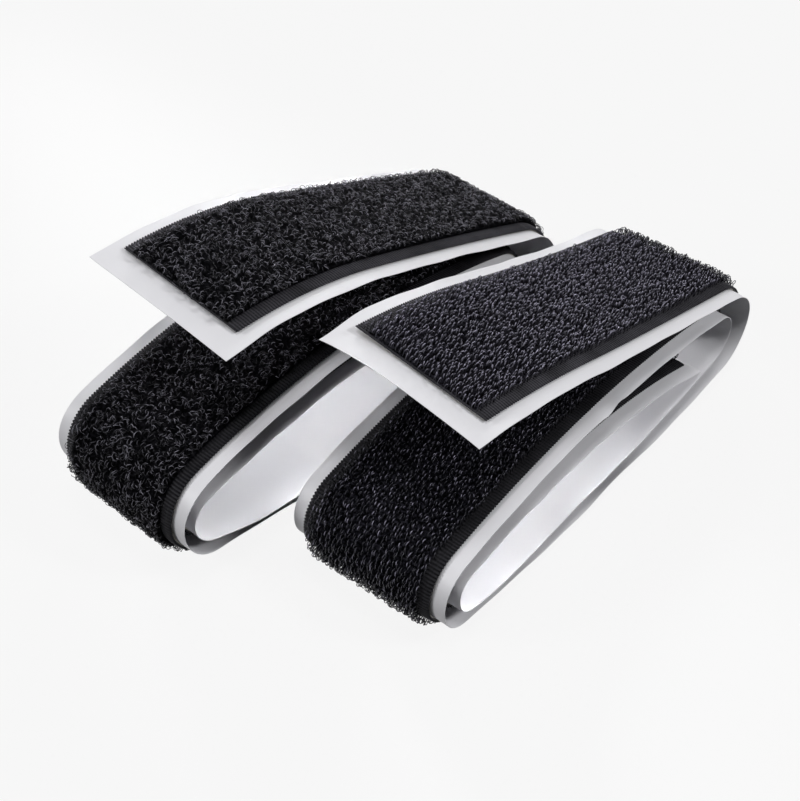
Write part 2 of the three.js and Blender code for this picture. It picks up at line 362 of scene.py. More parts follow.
@dataclass
class Surface:
    """A mesh before it is made: points, faces of four and three corners, a map, and a tone with painted
    glints for each point.
    """

    points: Array
    quads: Index
    triangles: Index = field(default_factory=lambda: np.zeros((0, 3), np.int64))
    chart: Array | None = None
    tone_and_glint: Array | None = None

    def joined(self, other: "Surface") -> "Surface":
        """Gives this surface and another as one, both with a map and with faces of four corners only.

        Args:
            other: The other surface.

        Returns:
            The two, with no shared points.
        """
        return Surface(
            np.concatenate([self.points, other.points]),
            np.concatenate([self.quads, other.quads + len(self.points)]),
            chart=np.concatenate([self.chart, other.chart]),
        )

    def piece(self, name: str, material: bpy.types.Material, crease: float) -> bpy.types.Object:
        """Makes the surface an object of the scene, smooth but for its sharp edges.

        Args:
            name: The piece's name.
            material: Its finish.
            crease: The angle in degrees past which an edge stays sharp.

        Returns:
            The new object, at the origin.
        """
        corners = np.concatenate([self.quads.ravel(), self.triangles.ravel()])
        quad_starts = 4 * np.arange(len(self.quads))
        triangle_starts = 4 * len(self.quads) + 3 * np.arange(len(self.triangles))
        starts = np.concatenate([quad_starts, triangle_starts])
        mesh = bpy.data.meshes.new(name)
        mesh.vertices.add(len(self.points))
        mesh.vertices.foreach_set("co", self.points.astype(np.float32).ravel())
        mesh.loops.add(len(corners))
        mesh.loops.foreach_set("vertex_index", corners.astype(np.int32))
        mesh.polygons.add(len(starts))
        mesh.polygons.foreach_set("loop_start", starts.astype(np.int32))
        mesh.update(calc_edges=True)
        mesh.validate()
        mesh.shade_smooth()
        mesh.set_sharp_from_angle(angle=math.radians(crease))
        if self.chart is not None:
            layer = mesh.uv_layers.new(name="tape_map")
            layer.data.foreach_set("uv", self.chart[corners].astype(np.float32).ravel())
        # The filaments' tone carries painted glints at their crowns and painted shade along their feet.
        if self.tone_and_glint is not None:
            tone_and_glint = mesh.attributes.new("strand_tone_and_glint", "FLOAT", "POINT")
            tone_and_glint.data.foreach_set("value", self.tone_and_glint.astype(np.float32))
        mesh.materials.append(material)
        made = bpy.data.objects.new(name, mesh)
        bpy.context.scene.collection.objects.link(made)
        log.info("%s: %d faces", name, len(mesh.polygons))
        return made


def closed_band(route: Route, along: Array, across: Array, outer: Array, inner: Array) -> Surface:
    """Makes a thin closed band along a strip from the heights of its two faces.

    The grid's rows follow the distance along and its columns the distance across. The section at a row runs
    over the outer face and back under the inner one, the sections are joined row to row, and both ends are
    closed.

    Args:
        route: The strip's route.
        along: Distance along at each grid point.
        across: Distance across at each grid point.
        outer: Height of the outer face at each grid point.
        inner: Height of the inner face at each grid point.

    Returns:
        The band, with its own coordinates as its map.
    """
    columns = along.shape[1]
    there = np.concatenate([along, along[:, ::-1]], axis=1)
    side = np.concatenate([across, across[:, ::-1]], axis=1)
    height = np.concatenate([outer, inner[:, ::-1]], axis=1)
    index = np.arange(there.size).reshape(there.shape)
    here, ahead = index[:-1], index[1:]
    walls = np.stack([here, ahead, np.roll(ahead, -1, 1), np.roll(here, -1, 1)], axis=-1).reshape(-1, 4)
    first = np.arange(columns - 1)
    last = 2 * columns - 1 - first
    start = np.stack([first, first + 1, last - 1, last], axis=-1)
    end = start[:, ::-1] + index[-1, 0]
    chart = np.stack([there, side], axis=-1).reshape(-1, 2)
    points = route.point(there, side, height).reshape(-1, 3)
    return Surface(points, np.concatenate([walls, start, end]), chart=chart)


def flat_band(route: Route, rows: Array, columns: Array, base: float, thickness: float) -> Surface:
    """Makes a closed band of even thickness along a strip.

    Args:
        route: The strip's route.
        rows: The distances along of the grid's rows.
        columns: The distances across of its columns.
        base: Height of the inner face.
        thickness: How far the outer face lies above it.

    Returns:
        The band.
    """
    along, across = np.meshgrid(rows, columns, indexing="ij")
    inner = np.full(along.shape, base)
    return closed_band(route, along, across, inner + thickness, inner)


def strand_tubes(route: Route, path: Array, side: Array, radius: float, tone_and_glint: Array) -> Surface:
    """Makes filaments as three-sided tubes, each carried along its own path.

    At each point of a path the section's first axis is the strand's side vector crossed with the path's
    direction, and its second the direction crossed with the first; three corners stand round the point at
    the radius. Points near the floor are pressed up to it by an exponential, so that none goes under.

    Args:
        route: The strip's route.
        path: Points in the strip's own coordinates, by strand and step.
        side: A vector across each strand's plane.
        radius: The radius of every strand.
        tone_and_glint: A number from 0 to 1 at each strand and step, the strand's own tone with its painted
            glint.

    Returns:
        The tubes as one surface, with the tone and painted glint of each point.
    """
    direction = np.gradient(path, axis=1)
    direction /= np.linalg.norm(direction, axis=-1, keepdims=True)
    first = np.cross(side[:, None, :], direction)
    first /= np.linalg.norm(first, axis=-1, keepdims=True)
    second = np.cross(direction, first)
    angle = 2 * math.pi * np.arange(TUBE_SIDES) / TUBE_SIDES
    ring = first[:, :, None] * np.cos(angle)[:, None] + second[:, :, None] * np.sin(angle)[:, None]
    corners = path[:, :, None] + radius * ring
    points = route.point(corners[..., 0], corners[..., 1], corners[..., 2]).reshape(-1, 3)
    points[:, 2] = pressed(points[:, 2])
    index = np.arange(len(points)).reshape(corners.shape[:3])
    here, ahead = index[:, :-1], index[:, 1:]
    quads = np.stack([here, np.roll(here, -1, 2), np.roll(ahead, -1, 2), ahead], axis=-1).reshape(-1, 4)
    triangles = np.concatenate([index[:, 0, ::-1], index[:, -1]])
    return Surface(points, quads, triangles, tone_and_glint=np.repeat(tone_and_glint.ravel(), TUBE_SIDES))


class Bench:
    """Adds and links the nodes of one shader tree; a Mix node's colour sockets go by their numbers."""

    mix_first = 6
    mix_second = 7
    mix_result = 2

    def __init__(self, tree: bpy.types.NodeTree) -> None:
        """Starts work on a tree."""
        self.tree = tree

    def feed(self, node: bpy.types.Node, inputs: Inputs) -> None:
        """Links sockets to a node's inputs, and sets those that are given a plain value.

        Args:
            node: The node.
            inputs: A socket or a value for each input, by its name or number.
        """
        for name, value in inputs.items():
            if isinstance(value, bpy.types.NodeSocket):
                self.tree.links.new(value, node.inputs[name])
            else:
                node.inputs[name].default_value = value

    def add(self, kind: str, inputs: Inputs | None = None, **settings: object) -> bpy.types.Node:
        """Adds a node.

        Args:
            kind: The node's type.
            inputs: Values or sockets for its inputs.
            settings: Its properties.

        Returns:
            The node.
        """
        node = self.tree.nodes.new(kind)
        for name, value in settings.items():
            setattr(node, name, value)
        self.feed(node, inputs or {})
        return node

    def math(self, operation: str, first: object, second: object = 0.0) -> bpy.types.NodeSocket:
        """Adds a Math node and gives its result."""
        return self.add("ShaderNodeMath", {0: first, 1: second}, operation=operation).outputs[0]

    def blend(self, factor: bpy.types.NodeSocket, first: Colour, second: Colour) -> bpy.types.NodeSocket:
        """Adds a colour mix of two plain colours and gives its result."""
        inputs = {"Factor": factor, self.mix_first: (*first, 1), self.mix_second: (*second, 1)}
        return self.add("ShaderNodeMix", inputs, data_type="RGBA").outputs[self.mix_result]

    def spread(self, value: bpy.types.NodeSocket, low: float, high: float) -> bpy.types.NodeSocket:
        """Maps a value of 0 to 1 onto a range and gives the result."""
        node = self.add("ShaderNodeMapRange", {"Value": value, "To Min": low, "To Max": high})
        return node.outputs["Result"]


def cleared_bench(owner: bpy.types.Material | bpy.types.World) -> Bench:
    """Clears a shader tree of its first nodes.

    Args:
        owner: The material or world that has the tree.

    Returns:
        A bench on the empty tree.
    """
    owner.use_nodes = True
    owner.node_tree.nodes.clear()
    return Bench(owner.node_tree)


def shared_group(name: str, inputs: dict[str, str], outputs: list[str]) -> tuple[Bench, bpy.types.Node]:
    """Starts a node group that several materials share.

    Args:
        name: The group's name.
        inputs: The kind of each of its inputs, by the input's name.
        outputs: The names of its outputs, which are plain numbers.

    Returns:
        A bench on the group's tree, and the node that gives the group's inputs.
    """
    tree = bpy.data.node_groups.new(name, "ShaderNodeTree")
    for word, kind in inputs.items():
        tree.interface.new_socket(word, in_out="INPUT", socket_type=f"NodeSocket{kind}")
    for word in outputs:
        tree.interface.new_socket(word, in_out="OUTPUT", socket_type="NodeSocketFloat")
    bench = Bench(tree)
    return bench, bench.add("NodeGroupInput")


def mottle_group() -> None:
    """Builds the group for cloudy variation: two noises of unlike scale, a soft cloud and a fine grain."""
    grain_fineness, cloud_detail, grain_detail = 14.0, 3.0, 2.0
    bench, given = shared_group("mottle", {"Vector": "Vector", "Scale": "Float"}, ["Cloud", "Grain"])
    scale = given.outputs["Scale"]
    fine = bench.math("MULTIPLY", scale, grain_fineness)
    noises = {}
    for word, size, detail in (("Cloud", scale, cloud_detail), ("Grain", fine, grain_detail)):
        inputs = {"Vector": given.outputs["Vector"], "Scale": size, "Detail": detail}
        noises[word] = bench.add("ShaderNodeTexNoise", inputs).outputs["Fac"]
    bench.add("NodeGroupOutput", noises)


def weave_group() -> None:
    """Builds the group for ribbed weave: wefts as raised cosines, and a little of the warps across them."""
    weft_sharpness, weft_share, warp_share = 1.6, 0.8, 0.2
    counts = {"Wefts per metre": "X", "Warps per metre": "Y"}
    inputs = {"Map": "Vector", **{count: "Float" for count in counts}}
    bench, given = shared_group("plain_weave", inputs, ["Height"])
    parts = bench.add("ShaderNodeSeparateXYZ", {"Vector": given.outputs["Map"]})
    waves = []
    for count, axis in counts.items():
        turns = bench.math("MULTIPLY", parts.outputs[axis], given.outputs[count])
        waves.append(bench.math("ABSOLUTE", bench.math("COSINE", bench.math("MULTIPLY", turns, math.pi))))
    wefts, warps = waves
    ridge = bench.math("MULTIPLY", bench.math("POWER", wefts, weft_sharpness), weft_share)
    height = bench.math("ADD", bench.math("MULTIPLY", warps, warp_share), ridge)
    bench.add("NodeGroupOutput", {"Height": height})


@dataclass(frozen=True)
class Finish:
    """A finish: its name, the record's slot, its two colours, its roughness and the depth of its relief."""

    name: str
    slot: str
    dark: Colour
    light: Colour
    smooth: float
    rough: float
    specular: float
    relief: float
    scale: float

    def material(self) -> bpy.types.Material:
        """Makes the finish's material on its first use.

        Returns:
            The material, the same one each time.
        """
        known = bpy.data.materials.get(self.name)
        if known:
            return known
        material = bpy.data.materials.new(self.name)
        bench = cleared_bench(material)
        shader = bench.add("ShaderNodeBsdfPrincipled", {"Specular IOR Level": self.specular})
        bench.add("ShaderNodeOutputMaterial", {"Surface": shader.outputs[0]})
        self.dress(bench, shader)
        return material

    def mottle(self, bench: Bench) -> bpy.types.Node:
        """Places the shared mottle on a piece's own coordinates, at this finish's scale.

        Args:
            bench: The material's bench.

        Returns:
            The group's node.
        """
        place = bench.add("ShaderNodeTexCoord").outputs["Object"]
        tree = bpy.data.node_groups["mottle"]
        return bench.add("ShaderNodeGroup", node_tree=tree, inputs={"Vector": place, "Scale": self.scale})

    def coat(
        self,
        bench: Bench,
        shader: bpy.types.Node,
        share: bpy.types.NodeSocket,
        rough: bpy.types.NodeSocket,
        height: bpy.types.NodeSocket,
    ) -> None:
        """Feeds the shader its colour, its roughness and, through a bump, its relief.

        Args:
            bench: The material's bench.
            shader: Its shader.
            share: How far the colour is from the dark one to the light one.
            rough: The roughness.
            height: The relief's height, as a share of the finish's relief in metres.
        """
        colour = bench.blend(share, self.dark, self.light)
        bump = bench.add("ShaderNodeBump", {"Strength": 1.0, "Distance": self.relief, "Height": height})
        bench.feed(shader, {"Base Color": colour, "Roughness": rough, "Normal": bump.outputs["Normal"]})

    def dress(self, bench: Bench, shader: bpy.types.Node) -> None:
        """Dresses a plain layer: colour follows the cloud, and roughness and relief the grain.

        Args:
            bench: The material's bench.
            shader: Its shader.
        """
        mottle = self.mottle(bench)
        grain = mottle.outputs["Grain"]
        rough = bench.spread(grain, self.smooth, self.rough)
        self.coat(bench, shader, mottle.outputs["Cloud"], rough, grain)


@dataclass(frozen=True)
class WovenFinish(Finish):
    """Woven nylon: threads over and under each other on the tape's own map, painted paler toward the lifted
    end as a painted sheen, and darker on the roll as painted shade.
    """

    warps: float = 2600.0
    wefts: float = 1 / WEFT_PITCH
    gap_share: float = 0.2
    # Painted light: along this span the weave's colour rises from painted shade on the roll to a painted
    # sheen on the free end.
    flap_light_span: Span = (262 * MM, 290 * MM)
    roll_shade_share: float = 0.4

    def dress(self, bench: Bench, shader: bpy.types.Node) -> None:
        """Dresses the weave: raised threads are lighter and smoother than the gaps, the lifted end is
        painted paler as a painted sheen, and the roll keeps a painted shade.

        Args:
            bench: The material's bench.
            shader: Its shader.
        """
        place = bench.add("ShaderNodeUVMap", uv_map="tape_map").outputs["UV"]
        inputs = {"Map": place, "Warps per metre": self.warps, "Wefts per metre": self.wefts}
        tree = bpy.data.node_groups["plain_weave"]
        height = bench.add("ShaderNodeGroup", node_tree=tree, inputs=inputs).outputs["Height"]
        along = bench.add("ShaderNodeSeparateXYZ", {"Vector": place}).outputs["X"]
        # Painted light: the colour ramps up across the flex line, shading the roll and lighting the flap.
        start, end = self.flap_light_span
        limits = {"Value": along, "From Min": start, "From Max": end, "To Min": self.roll_shade_share}
        flap_light = bench.add("ShaderNodeMapRange", limits).outputs["Result"]
        cloud = bench.math("MULTIPLY", self.mottle(bench).outputs["Cloud"], flap_light)
        share = bench.math("MULTIPLY", bench.math("ADD", height, self.gap_share), cloud)
        self.coat(bench, shader, share, bench.spread(height, self.rough, self.smooth), height)


@dataclass(frozen=True)
class MatFinish(Finish):
    """Matted fibres: dark hollows among lighter fibres, at the size of the grain."""

    contrast: Span = (0.42, 0.68)

    def dress(self, bench: Bench, shader: bpy.types.Node) -> None:
        """Dresses the mat: the grain, with its contrast raised, sets the colour and stands in relief.

        Args:
            bench: The material's bench.
            shader: Its shader.
        """
        grain = self.mottle(bench).outputs["Grain"]
        low, high = self.contrast
        limits = {"Value": grain, "From Min": low, "From Max": high}
        share = bench.add("ShaderNodeMapRange", limits).outputs["Result"]
        self.coat(bench, shader, share, bench.spread(share, self.rough, self.smooth), grain)


@dataclass(frozen=True)
class StrandFinish(Finish):
    """Nylon filaments: each strand has its own tone with painted glints at its crown, and fine drawing
    marks.
    """

    tint: Colour = (1.0, 1.0, 1.0)
    rarity: float = 2.2

    def dress(self, bench: Bench, shader: bpy.types.Node) -> None:
        """Dresses strands.

        A power of the tone sets the colour, so that pale strands are few; the pale colour is a painted
        highlight. The mean of the tone and the grain sets the roughness.

        Args:
            bench: The material's bench.
            shader: Its shader.
        """
        # Painted highlight: this attribute holds each strand's tone with its painted glint.
        tone_and_glint = bench.add("ShaderNodeAttribute", attribute_name="strand_tone_and_glint").outputs["Fac"]
        grain = self.mottle(bench).outputs["Grain"]
        mean = bench.math("MULTIPLY", bench.math("ADD", tone_and_glint, grain), 0.5)
        rough = bench.spread(mean, self.smooth, self.rough)
        self.coat(bench, shader, bench.math("POWER", tone_and_glint, self.rarity), rough, grain)
        shader.inputs["Specular Tint"].default_value = (*self.tint, 1)


LINER_FINISH = Finish(
    name="white_release_liner", slot="liner", dark=(0.752, 0.75, 0.782), light=(0.805, 0.802, 0.83),
    smooth=0.36, rough=0.5, specular=0.4, relief=0.004 * MM, scale=160,
)
ADHESIVE_FINISH = Finish(
    name="clear_adhesive", slot="adhesive", dark=(0.56, 0.53, 0.44), light=(0.68, 0.65, 0.55),
    smooth=0.2, rough=0.36, specular=0.5, relief=0.006 * MM, scale=300,
)
COAT_FINISH = Finish(
    name="black_back_coat", slot="back_coat", dark=(0.012, 0.012, 0.012), light=(0.024, 0.024, 0.025),
    smooth=0.4, rough=0.6, specular=0.4, relief=0.006 * MM, scale=400,
)
# The weave's light colour is reached only on the lifted end, as a painted sheen there.
WOVEN_FINISH = WovenFinish(
    name="black_woven_nylon", slot="woven_tape", dark=(0.002, 0.002, 0.0025), light=(0.085, 0.083, 0.096),
    smooth=0.42, rough=0.62, specular=0.06, relief=0.006 * MM, scale=220,
)
LOOP_MAT_FINISH = MatFinish(
    name="black_loop_mat", slot="loop_pile", dark=(0.0002, 0.0002, 0.0003), light=(0.006, 0.0058, 0.0075),
    smooth=0.5, rough=0.9, specular=0.01, relief=0.1 * MM, scale=190,
)
HOOK_MAT_FINISH = MatFinish(
    name="black_hook_roots", slot="hook_pile", dark=(0.0004, 0.0004, 0.0006), light=(0.022, 0.021, 0.029),
    smooth=0.5, rough=0.9, specular=0.02, relief=0.1 * MM, scale=190,
)
# The filaments' light colours are painted highlights: pale crowns that stand for glints of the lamps.
LOOP_FINISH = StrandFinish(
    name="black_loop_filament", slot="loop_pile", dark=(0.0012, 0.0012, 0.0016), light=(0.26, 0.254, 0.3),
    smooth=0.2, rough=0.36, specular=0.22, relief=0.002 * MM, scale=900, tint=(0.92, 0.91, 1.0),
)
HOOK_FINISH = StrandFinish(
    name="black_hook_monofilament", slot="hook_pile", dark=(0.004, 0.004, 0.0058),
    light=(0.31, 0.295, 0.385), smooth=0.12, rough=0.28, specular=0.4, relief=0.002 * MM, scale=900,
    tint=(0.88, 0.87, 1.0), rarity=1.8,
)


@dataclass(kw_only=True)
class Layer:
    """A layer of a strip, in one piece for each stretch."""

    kind: PileKind
    stock: TapeStock
    word: str
    finish: Finish
    crease: float = 40.0

    @property
    def tails(self) -> Span:
        """How far the layer stops short of the strip's inner end and of its free end."""
        return self.stock.liner_inner_tail, self.stock.liner_free_tail

    @property
    def sheet_width(self) -> float | None:
        """The layer's flat width, if it is a sheet."""
        return None

    def build(self, route: Route, start: float, end: float) -> Surface:
        """Lays the layer between two distances along its strip."""
        raise NotImplementedError

    def dress(self, route: Route, stretch: Stretch) -> bpy.types.Object:
        """Makes the layer's piece in its finish.

        Args:
            route: The strip's route.
            stretch: The wound or the lifted length.

        Returns:
            The piece.
        """
        start, end = route.span(stretch, *self.tails)
        name = f"{self.kind.value}_{self.word}_{stretch.value}"
        made = self.build(route, start, end).piece(name, self.finish.material(), self.crease)
        return made


@dataclass(frozen=True)
class EdgeCurl:
    """A bend in one margin of a liner: its place and reach along, how far out it stands, and its side."""

    place: float
    reach: float
    rise: float
    side: int = 1


LOOP_CURLS = (EdgeCurl(208 * MM, 8 * MM, -0.7 * MM),)
HOOK_CURLS = (
    EdgeCurl(152.8 * MM, 1.1 * MM, 0.4 * MM),
    EdgeCurl(155 * MM, 1.1 * MM, -0.35 * MM),
    EdgeCurl(232 * MM, 5 * MM, -0.9 * MM),
)


@dataclass(kw_only=True)
class ReleaseLiner(Layer):
    """The white liner under a strip, wider and longer than the tape."""

    word: str = "liner"
    finish: Finish = LINER_FINISH
    curls: tuple[EdgeCurl, ...]
    phase: float
    droop: Span
    film: float = 0.06 * MM
    step: float = 0.7 * MM
    margin_columns: int = 6
    middle_columns: int = 9
    edge_wave: float = 0.16 * MM
    wave_lengths: tuple[float, ...] = (31 * MM, 17 * MM, 9 * MM)
    phase_step: float = 2.1
    droop_reach: float = 9 * MM

    @property
    def tails(self) -> Span:
        """The liner runs to both ends of its strip."""
        return 0.0, 0.0

    @property
    def sheet_width(self) -> float:
        """The liner's flat width."""
        return self.stock.liner_width

    def lift(self, route: Route, along: Array, across: Array) -> Array:
        """Gives the height of the liner's ripple.

        Waves and curls grow with the square of the distance past the tape's edge, a curl as a bell along the
        strip. The two corners of the tail droop with the square of the distance across.

        Args:
            route: The strip's route.
            along: Distance along at each grid point.
            across: Distance across at each grid point.

        Returns:
            The height at each grid point.
        """
        share = across / (self.stock.liner_width / 2)
        past = (np.abs(across) - self.stock.tape_width / 2) / self.stock.liner_margin
        margin = np.clip(past, 0, 1) ** 2
        far, near = (unit_wave(along, self.wave_lengths, self.phase + k * self.phase_step) for k in (0, 1))
        ripple = self.edge_wave * np.where(share < 0, far, near)
        for curl in self.curls:
            bell = np.exp(-((along - curl.place) / curl.reach) ** 2)
            ripple = ripple + curl.rise * bell * (np.sign(share) == curl.side)
        tail = smooth_step(along, route.end - self.droop_reach, route.end)
        droop = np.where(share < 0, *self.droop)
        return ripple * margin - droop * tail * np.abs(share) ** 2

    def build(self, route: Route, start: float, end: float) -> Surface:
        """Lays the film between its two ends, its outer face at the liner's thickness over its ripple.

        Args:
            route: The strip's route.
            start: Where the film starts.
            end: Where it ends.

        Returns:
            The film.
        """
        bonded = self.stock.tape_width / 2
        margin = np.linspace(bonded, self.stock.liner_width / 2, self.margin_columns)
        middle = np.linspace(-bonded, bonded, self.middle_columns)[1:-1]
        columns = np.concatenate([-margin[::-1], middle, margin])
        along, across = np.meshgrid(even_stations(start, end, self.step), columns, indexing="ij")
        outer = self.stock.liner + self.lift(route, along, across)
        return closed_band(route, along, across, outer, outer - self.film)


@dataclass(kw_only=True)
class BondLayer(Layer):
    """A thin even layer between the liner and the woven ground."""

    base: float
    thickness: float
    inset: float = 0.15 * MM
    end_inset: float = 0.4 * MM
    step: float = 0.9 * MM
    columns: int = 5

    @property
    def tails(self) -> Span:
        """The layer is a little shorter than the tape that covers it."""
        return self.stock.liner_inner_tail + self.end_inset, self.stock.liner_free_tail + self.end_inset

    def build(self, route: Route, start: float, end: float) -> Surface:
        """Lays the layer at its height, a little narrower than the tape.

        Args:
            route: The strip's route.
            start: Where the layer starts.
            end: Where it ends.

        Returns:
            The layer.
        """
        half = self.stock.tape_width / 2 - self.inset
        columns = np.linspace(-half, half, self.columns)
        return flat_band(route, even_stations(start, end, self.step), columns, self.base, self.thickness)


@dataclass(kw_only=True)
class WovenTape(Layer):
    """The woven ground, ribbed by its wefts at the bare selvedges."""

    word: str = "tape"
    finish: Finish = WOVEN_FINISH
    crease: float = 75.0
    rib_pitch: float = WEFT_PITCH
    rib_depth: float = 0.13 * MM
    rib_samples: int = 4
    tooth_depth: float = 0.14 * MM
    tooth_power: int = 4
    edge_round: float = 0.35
    round_from: float = 0.8
    selvedge_columns: int = 4
    middle_columns: int = 9
    middle_step: float = 0.8 * MM
    tuck: float = 0.5 * MM

    @property
    def sheet_width(self) -> float:
        """The tape's flat width."""
        return self.stock.tape_width

    def selvedge(self, route: Route, start: float, end: float, side: int) -> Surface:
        """Lays one ribbed edge.

        Its outer face falls between the wefts by the rib depth times one less the weft's rounded cosine,
        more at the very edge, where the wefts turn back, and its edge is toothed by the same cosine.

        Args:
            route: The strip's route.
            start: Where the tape starts.
            end: Where it ends.
            side: -1 or 1, for the edge that it is.

        Returns:
            The edge, from under the pile outwards.
        """
        stock = self.stock
        sample = self.rib_pitch / self.rib_samples
        inside = sample * np.arange(math.ceil(start / sample), math.ceil(end / sample))
        marks = np.concatenate([[start], inside[1:-1], [end]])
        rib = np.abs(np.cos(math.pi * marks / self.rib_pitch))[:, None]
        share = np.linspace(0, 1, self.selvedge_columns)[None, :]
        width = stock.selvedge_width + self.tuck
        across = stock.tape_width / 2 - width + share * width
        across = across - self.tooth_depth * (1 - rib) * share ** self.tooth_power
        along = np.broadcast_to(marks[:, None], across.shape)
        round_off = self.edge_round * stock.ground * smooth_step(share, self.round_from, 1.0)
        top = stock.ground_base + stock.ground - self.rib_depth * (1 - rib) - round_off
        inner = np.full(across.shape, stock.ground_base)
        if side < 0:
            across, top = -across[:, ::-1], top[:, ::-1]
        return closed_band(route, along, across, top, inner)

    def build(self, route: Route, start: float, end: float) -> Surface:
        """Lays the middle of the ground under the pile, and a ribbed edge on each side of it.

        Args:
            route: The strip's route.
            start: Where the tape starts.
            end: Where it ends.

        Returns:
            The whole ground.
        """
        stock = self.stock
        half = stock.tape_width / 2 - stock.selvedge_width - self.tuck
        columns = np.linspace(-half, half, self.middle_columns)
        rows = even_stations(start, end, self.middle_step)
        ground = flat_band(route, rows, columns, stock.ground_base, stock.ground)
        for side in (-1, 1):
            ground = ground.joined(self.selvedge(route, start, end, side))
        return ground


@dataclass
class PileMat:
    """The matted body of a pile, under the filaments that stand out of it."""

    stock: TapeStock
    finish: Finish
    height: Span
    overhang: Span = (0.0, 0.0)
    step: float = 0.55 * MM
    rim: float = 0.9 * MM
    rim_share: float = 0.35
    seed: int = 5

    def build(self, route: Route, start: float, end: float) -> Surface:
        """Lays the mat over a stretch of the ground.

        Its height is drawn for each point between the two given, and falls off to its rim's share by a
        smooth step over the rim, along its sides and at the strip's ends. Where it lies on the floor it is
        pressed flat.

        Args:
            route: The strip's route.
            start: Where the stretch starts.
            end: Where it ends.

        Returns:
            The mat.
        """
        stock = self.stock
        draw = np.random.default_rng(self.seed + round(start / MM))
        far = -stock.pile_width / 2 - self.overhang[0]
        near = stock.pile_width / 2 + self.overhang[1]
        rows, columns = even_stations(start, end, self.step), even_stations(far, near, self.step)
        along, across = np.meshgrid(rows, columns, indexing="ij")
        sides = np.minimum(across - far, near - across)
        ends = np.minimum(along - stock.liner_inner_tail, route.end - stock.liner_free_tail - along)
        inside = smooth_step(np.minimum(sides, ends), 0.0, self.rim)
        rise = draw.uniform(*self.height, along.shape) * (self.rim_share + (1 - self.rim_share) * inside)
        base = np.full(along.shape, stock.pile_base - stock.bond_gap)
        mat = closed_band(route, along, across, base + rise, base)
        mat.points[:, 2] = pressed(mat.points[:, 2])
        return mat


@dataclass(frozen=True)
class PileZone:
    """A length of pile: its ends, its spacing in pitches, and its dullest tone and how rare pale strands
    are, which carry painted light and shade.
    """

    start: float
    end: float
    spacing: float = 1.0
    dullest: float = 0.0
    rarity: float = 1.0


@dataclass
class LoopPile:
    """Napped loops: thin filaments that curl out of the mat and back into it, every way."""

    stock: TapeStock
    mat: PileMat
    finish: StrandFinish = LOOP_FINISH
    pitch: float = 0.37 * MM
    radius: float = 0.045 * MM
    curl: Span = (0.22 * MM, 0.4 * MM)
    level: Span = (0.45 * MM, 0.9 * MM)
    sweep: Span = (250.0, 330.0)
    tilt: float = 0.6
    roll: float = 0.6
    helix: float = 0.4 * MM
    overhang: Span = (0.5 * MM, 0.3 * MM)
    steps: int = 7
    shade: float = 0.3
    lit: Span = (-0.2, 1.0)
    # Painted light and shade: the free end's strands are lighter and the roll's darker.
    lifted_painted_light: float = 0.0
    wound_painted_shade: float = 1.1
    hidden_spacing: float = 4.0
    floor_spacing: float = 3.0
    end_overhang: float = 0.3 * MM
    seed: int = 11

    def strands(self, route: Route, zone: PileZone, salt: int) -> Surface:
        """Stands curls over a zone of the ground.

        Each curl is most of a ring about a point over the ground, turned in its plane by the roll. The
        ring's first axis lies level and its second leans from upright by the tilt; the curl drifts along the
        third, evenly with the angle turned. A curl's tone rises with the sine of the angle, from a painted
        shade at the foot to a painted highlight at the crown.

        Args:
            route: The strip's route.
            zone: The zone.
            salt: A number that makes this zone's draws its own.

        Returns:
            The curls.
        """
        draw = np.random.default_rng(self.seed + salt)
        half = self.stock.pile_width / 2
        count = round((zone.end - zone.start) * 2 * half / (self.pitch * zone.spacing) ** 2)
        centre = np.stack([
            draw.uniform(zone.start, zone.end, count),
            draw.uniform(-half - self.overhang[0], half + self.overhang[1], count),
            self.stock.pile_base + draw.uniform(*self.level, count),
        ], axis=-1)
        facing = draw.uniform(0, 2 * math.pi, count)
        tilt = draw.normal(0, self.tilt, count)
        first = np.stack([np.cos(facing), np.sin(facing), np.zeros(count)], axis=-1)
        level = np.stack([-np.sin(facing), np.cos(facing), np.zeros(count)], axis=-1)
        upright = np.array([0.0, 0.0, 1.0])
        second = np.cos(tilt)[:, None] * upright + np.sin(tilt)[:, None] * level
        third = np.cross(first, second)
        size = draw.uniform(*self.curl, count)[:, None, None]
        sweep = np.radians(draw.uniform(*self.sweep, count))[:, None]
        share = np.linspace(-0.5, 0.5, self.steps)[None, :]
        angle = (math.pi / 2 + draw.normal(0, self.roll, count)[:, None] + sweep * share)[..., None]
        drift = draw.normal(0, self.helix, count)[:, None, None] * share[..., None]
        ring = size * (np.cos(angle) * first[:, None] + np.sin(angle) * second[:, None])
        path = centre[:, None] + ring + drift * third[:, None]
        path[..., 2] = np.maximum(path[..., 2], self.stock.pile_base)
        # Painted highlight at the top of each curl and painted shade at its foot; the zone's limits paint
        # the free end lighter and the roll darker.
        crown = self.shade + (1 - self.shade) * smooth_step(np.sin(angle[..., 0]), *self.lit)
        tone_and_glint = (draw.uniform(zone.dullest, 1, count)[:, None] * crown) ** zone.rarity
        return strand_tubes(route, path, third, self.radius, tone_and_glint)


